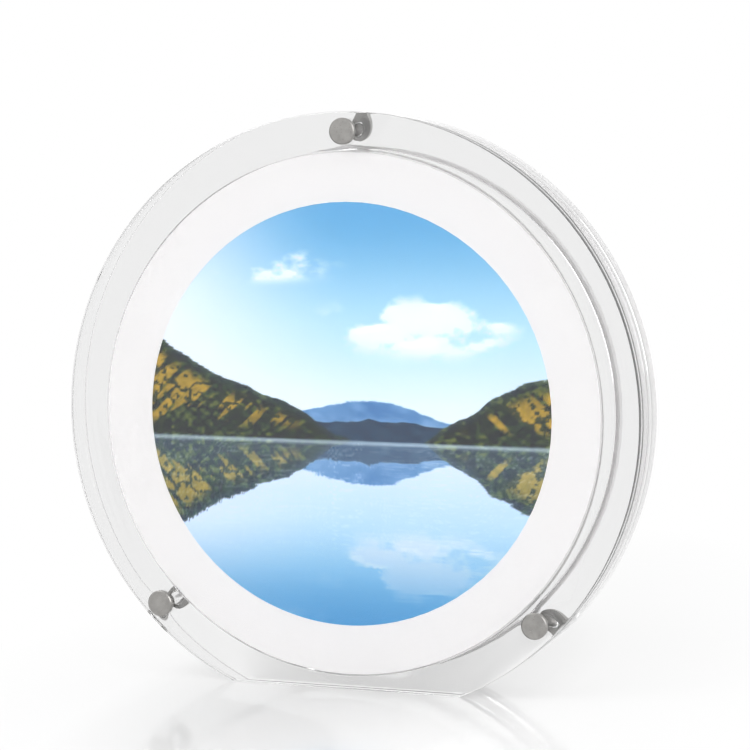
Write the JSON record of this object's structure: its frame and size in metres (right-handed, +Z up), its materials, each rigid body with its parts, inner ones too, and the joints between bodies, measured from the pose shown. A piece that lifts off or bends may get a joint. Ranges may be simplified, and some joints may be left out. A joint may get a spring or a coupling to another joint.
{
  "type": "round_photo_display",
  "caption": "Round digital photo frame with a clear acrylic disc on a flat foot, a white mat round the lit picture and metal standoffs",
  "frame": {"origin": "centre of the footprint on the surface that the flat foot stands on", "axes": "+X to the right as seen from the front, +Y from the picture to the back, +Z up"},
  "size_m": [0.18, 0.0276, 0.1724],
  "materials": {
    "clear_acrylic": "polished clear",
    "satin_nickel": "satin",
    "white_plastic": "fine matt",
    "screen_glass": "smooth lit picture",
    "plated_steel": "zinc plated",
    "board_green": "solder resist",
    "chip_black": "matt",
    "key_grey": "matt"
  },
  "bodies": {
    "display": {"front_panel": "clear_acrylic", "acrylic_body": "clear_acrylic", "standoff_cap_top": "satin_nickel", "standoff_cap_left": "satin_nickel", "standoff_cap_right": "satin_nickel", "standoff_shank_top": "satin_nickel", "standoff_shank_left": "satin_nickel", "standoff_shank_right": "satin_nickel", "standoff_foot_top": "satin_nickel", "standoff_foot_left": "satin_nickel", "standoff_foot_right": "satin_nickel", "mat_ring": "white_plastic", "lcd_panel": "screen_glass", "backlight_unit": "white_plastic", "module_shell": "white_plastic", "mid_frame": "plated_steel", "main_board": "board_green", "key_board": "board_green", "processor": "chip_black", "radio_module": "plated_steel", "usb_socket": "plated_steel", "card_socket": "plated_steel", "rear_cover": "white_plastic", "previous_switch": "chip_black", "power_switch": "chip_black", "next_switch": "chip_black", "speaker": "chip_black", "cover_screw_1": "plated_steel", "cover_screw_2": "plated_steel", "cover_screw_3": "plated_steel", "cover_screw_4": "plated_steel"},
    "previous_key": {"previous_button": "key_grey"},
    "power_key": {"power_button": "key_grey"},
    "next_key": {"next_button": "key_grey"}
  },
  "joints": [
    {"name": "previous_press", "type": "slide", "parent": "display", "child": "previous_key", "axis": [0, -1, 0], "range_m": [0, 0.0006], "stiffness_N_per_m": 600, "springref_m": -0.0015},
    {"name": "power_press", "type": "slide", "parent": "display", "child": "power_key", "axis": [0, -1, 0], "range_m": [0, 0.0006], "stiffness_N_per_m": 600, "springref_m": -0.0015},
    {"name": "next_press", "type": "slide", "parent": "display", "child": "next_key", "axis": [0, -1, 0], "range_m": [0, 0.0006], "stiffness_N_per_m": 600, "springref_m": -0.0015}
  ]
}
